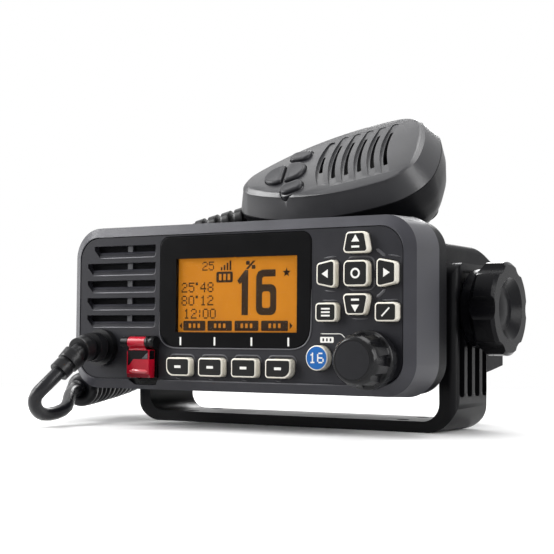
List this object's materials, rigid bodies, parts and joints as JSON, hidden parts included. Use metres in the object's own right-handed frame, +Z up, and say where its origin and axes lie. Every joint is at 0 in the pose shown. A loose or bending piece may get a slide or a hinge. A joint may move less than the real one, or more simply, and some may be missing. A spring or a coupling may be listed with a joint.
{
  "type": "marine vhf radio",
  "caption": "Fixed-mount marine radio in a tilting bracket, with a display, keys, volume dial, covered emergency button and a hand microphone on a curly cord.",
  "frame": {"origin": "centre of the bracket's underside, straight below the tilt axis", "axes": "+X to the user's right, +Y from the front towards the back, +Z up; the display faces -Y"},
  "size_m": [0.2086, 0.1518, 0.131],
  "materials": {
    "panel_grey": "fine texture, satin",
    "panel_charcoal": "fine texture, matt",
    "gloss_black": "polished",
    "clear_pane": "polished, clear",
    "lcd_amber": "backlit amber",
    "diffuser_white": "matt",
    "key_ivory": "satin with a dark printed face",
    "key_blue": "satin",
    "soft_black": "matt elastomer",
    "cord_black": "satin jacket",
    "dial_grey": "satin with a flat grey face",
    "hard_black": "satin",
    "alarm_red": "glossy, slightly see-through",
    "bracket_black": "fine texture",
    "cast_black": "black powder coat on a die casting",
    "steel": "turned",
    "nickel": "nickel plate",
    "contact_brass": "machined",
    "insulator_white": "smooth",
    "board_green": "solder mask",
    "speaker_dark": "matt",
    "cloth_black": "open weave",
    "mic_grey": "satin",
    "mic_black": "fine texture"
  },
  "bodies": {
    "bracket": {"mounting_bracket": "bracket_black"},
    "radio": {"front_panel": "panel_grey", "front_inlay": "panel_charcoal", "display_surround": "gloss_black", "display_pane": "clear_pane", "lcd_glass": "lcd_amber", "backlight": "diffuser_white", "key_mat": "soft_black", "dial_encoder": "hard_black", "button_cradle": "hard_black", "lid_pin": "steel", "cord_gland": "soft_black", "cord_tail": "cord_black", "cord_curl": "cord_black", "cord_lead": "cord_black", "panel_gasket": "soft_black", "chassis": "cast_black", "case_screws": "steel", "antenna_socket": "nickel", "socket_insulator": "insulator_white", "socket_contact": "contact_brass", "power_grommet": "soft_black", "signal_grommets": "soft_black", "speaker": "speaker_dark", "speaker_cloth": "cloth_black", "logic_board": "board_green", "radio_board": "board_green", "tilt_washers": "steel", "clamp_stud_left": "steel", "clamp_stud_right": "steel"},
    "left_knob": {"clamp_knob_left": "hard_black"},
    "right_knob": {"clamp_knob_right": "hard_black"},
    "push_switch": {"dial_plunger": "insulator_white"},
    "dial": {"volume_dial": "dial_grey", "dial_spindle": "steel"},
    "alarm": {"emergency_button": "alarm_red"},
    "lid": {"emergency_lid": "alarm_red"},
    "microphone": {"mic_front_shell": "mic_grey", "mic_back_shell": "mic_grey", "mic_hanger": "hard_black", "mic_relief": "soft_black", "mic_speaker": "speaker_dark", "mic_board": "board_green"},
    "talk_bar": {"mic_talk_bar": "soft_black"},
    "key_up": {"key_up": "key_ivory"},
    "key_left": {"key_left": "key_ivory"},
    "key_centre": {"key_centre": "key_ivory"},
    "key_right": {"key_right": "key_ivory"},
    "key_down": {"key_down": "key_ivory"},
    "key_low_left": {"key_low_left": "key_ivory"},
    "key_low_right": {"key_low_right": "key_ivory"},
    "soft_key_1": {"soft_key_1": "key_ivory"},
    "soft_key_2": {"soft_key_2": "key_ivory"},
    "soft_key_3": {"soft_key_3": "key_ivory"},
    "soft_key_4": {"soft_key_4": "key_ivory"},
    "key_round": {"key_round": "key_blue"},
    "mic_key_low": {"mic_key_low": "mic_black"},
    "mic_key_high": {"mic_key_high": "mic_black"},
    "mic_key_near": {"mic_key_near": "mic_black"},
    "mic_key_far": {"mic_key_far": "mic_black"}
  },
  "joints": [
    {"name": "tilt", "type": "hinge", "parent": "bracket", "child": "radio", "pos_m": [0, 0, 0.0476], "axis": [1, 0, 0], "range_deg": [-15, 15]},
    {"name": "left_clamp", "type": "hinge", "parent": "radio", "child": "left_knob", "pos_m": [-0.084, 0, 0.0476], "axis": [-1, 0, 0], "continuous": true},
    {"name": "right_clamp", "type": "hinge", "parent": "radio", "child": "right_knob", "pos_m": [0.084, 0, 0.0476], "axis": [1, 0, 0], "continuous": true},
    {"name": "dial_push", "type": "slide", "parent": "radio", "child": "push_switch", "axis": [0, 1, 0], "range_m": [0, 0.0008], "stiffness_N_per_m": 900},
    {"name": "volume_turn", "type": "hinge", "parent": "push_switch", "child": "dial", "pos_m": [0.0619, -0.0576, 0.0282], "axis": [0, 1, 0], "continuous": true},
    {"name": "alarm_press", "type": "slide", "parent": "radio", "child": "alarm", "axis": [0, 1, 0], "range_m": [0, 0.0008], "stiffness_N_per_m": 600},
    {"name": "lid_swing", "type": "hinge", "parent": "radio", "child": "lid", "pos_m": [-0.03965, -0.0602, 0.03365], "axis": [-1, 0, 0], "range_deg": [0, 100], "stiffness_Nm_per_rad": 0.004},
    {"name": "microphone_lift", "type": "slide", "parent": "radio", "child": "microphone", "axis": [0, 0, 1], "range_m": [0, 0.06]},
    {"name": "talk_press", "type": "slide", "parent": "microphone", "child": "talk_bar", "axis": [0.2516, -0.7465, -0.616], "range_m": [0, 0.0014], "stiffness_N_per_m": 500},
    {"name": "key_up_press", "type": "slide", "parent": "radio", "child": "key_up", "axis": [0, 1, 0], "range_m": [0, 0.0008], "stiffness_N_per_m": 500},
    {"name": "key_left_press", "type": "slide", "parent": "radio", "child": "key_left", "axis": [0, 1, 0], "range_m": [0, 0.0008], "stiffness_N_per_m": 500},
    {"name": "key_centre_press", "type": "slide", "parent": "radio", "child": "key_centre", "axis": [0, 1, 0], "range_m": [0, 0.0008], "stiffness_N_per_m": 500},
    {"name": "key_right_press", "type": "slide", "parent": "radio", "child": "key_right", "axis": [0, 1, 0], "range_m": [0, 0.0008], "stiffness_N_per_m": 500},
    {"name": "key_down_press", "type": "slide", "parent": "radio", "child": "key_down", "axis": [0, 1, 0], "range_m": [0, 0.0008], "stiffness_N_per_m": 500},
    {"name": "key_low_left_press", "type": "slide", "parent": "radio", "child": "key_low_left", "axis": [0, 1, 0], "range_m": [0, 0.0008], "stiffness_N_per_m": 500},
    {"name": "key_low_right_press", "type": "slide", "parent": "radio", "child": "key_low_right", "axis": [0, 1, 0], "range_m": [0, 0.0008], "stiffness_N_per_m": 500},
    {"name": "soft_key_1_press", "type": "slide", "parent": "radio", "child": "soft_key_1", "axis": [0, 1, 0], "range_m": [0, 0.0008], "stiffness_N_per_m": 500},
    {"name": "soft_key_2_press", "type": "slide", "parent": "radio", "child": "soft_key_2", "axis": [0, 1, 0], "range_m": [0, 0.0008], "stiffness_N_per_m": 500},
    {"name": "soft_key_3_press", "type": "slide", "parent": "radio", "child": "soft_key_3", "axis": [0, 1, 0], "range_m": [0, 0.0008], "stiffness_N_per_m": 500},
    {"name": "soft_key_4_press", "type": "slide", "parent": "radio", "child": "soft_key_4", "axis": [0, 1, 0], "range_m": [0, 0.0008], "stiffness_N_per_m": 500},
    {"name": "key_round_press", "type": "slide", "parent": "radio", "child": "key_round", "axis": [0, 1, 0], "range_m": [0, 0.0008], "stiffness_N_per_m": 500},
    {"name": "mic_key_low_press", "type": "slide", "parent": "microphone", "child": "mic_key_low", "axis": [0.0427, 0.6445, -0.7634], "range_m": [0, 0.0007], "stiffness_N_per_m": 500},
    {"name": "mic_key_high_press", "type": "slide", "parent": "microphone", "child": "mic_key_high", "axis": [0.0427, 0.6445, -0.7634], "range_m": [0, 0.0007], "stiffness_N_per_m": 500},
    {"name": "mic_key_near_press", "type": "slide", "parent": "microphone", "child": "mic_key_near", "axis": [0.0427, 0.6445, -0.7634], "range_m": [0, 0.0007], "stiffness_N_per_m": 500},
    {"name": "mic_key_far_press", "type": "slide", "parent": "microphone", "child": "mic_key_far", "axis": [0.0427, 0.6445, -0.7634], "range_m": [0, 0.0007], "stiffness_N_per_m": 500}
  ]
}
